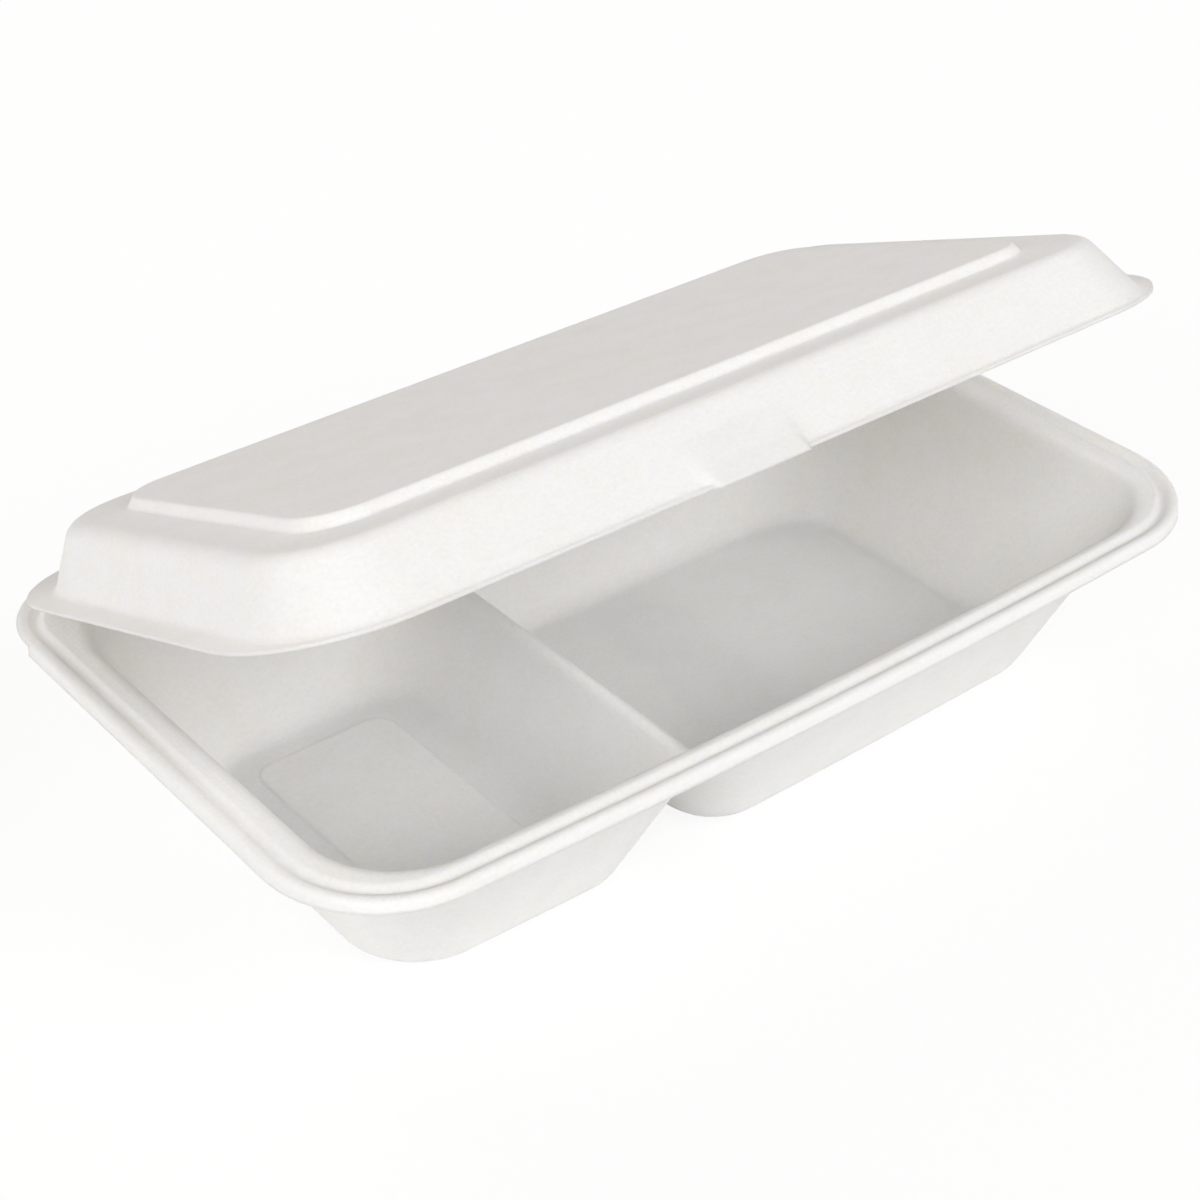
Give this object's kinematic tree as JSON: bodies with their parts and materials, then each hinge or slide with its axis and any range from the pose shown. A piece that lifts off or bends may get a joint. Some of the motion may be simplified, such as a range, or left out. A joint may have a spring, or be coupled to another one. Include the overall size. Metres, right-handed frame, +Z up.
{
  "type": "two-compartment hinged takeaway container",
  "caption": "Shallow rectangular moulded-fibre food container with two compartments, a rolled rim and a hinged domed lid with a front tongue latch.",
  "frame": {"origin": "on the plane the tray stands on, at the middle of the rim's length and depth", "axes": "+X along the hinge, to the large compartment; +Y from the front to the hinge; +Z up out of the tray's mouth"},
  "size_m": [0.249, 0.1502, 0.1089],
  "materials": {
    "pressed_fibre_tray": "matt pressed plant fibre, uncoated",
    "pressed_fibre_lid": "matt pressed plant fibre, uncoated"
  },
  "bodies": {
    "tray": {"tray": "pressed_fibre_tray"},
    "lid": {"lid": "pressed_fibre_lid"}
  },
  "joints": [
    {"name": "lid_hinge", "type": "hinge", "parent": "tray", "child": "lid", "pos_m": [0, 0.07505, 0.04715], "axis": [-1, 0, 0], "range_deg": [-21.5, 158.5]}
  ]
}
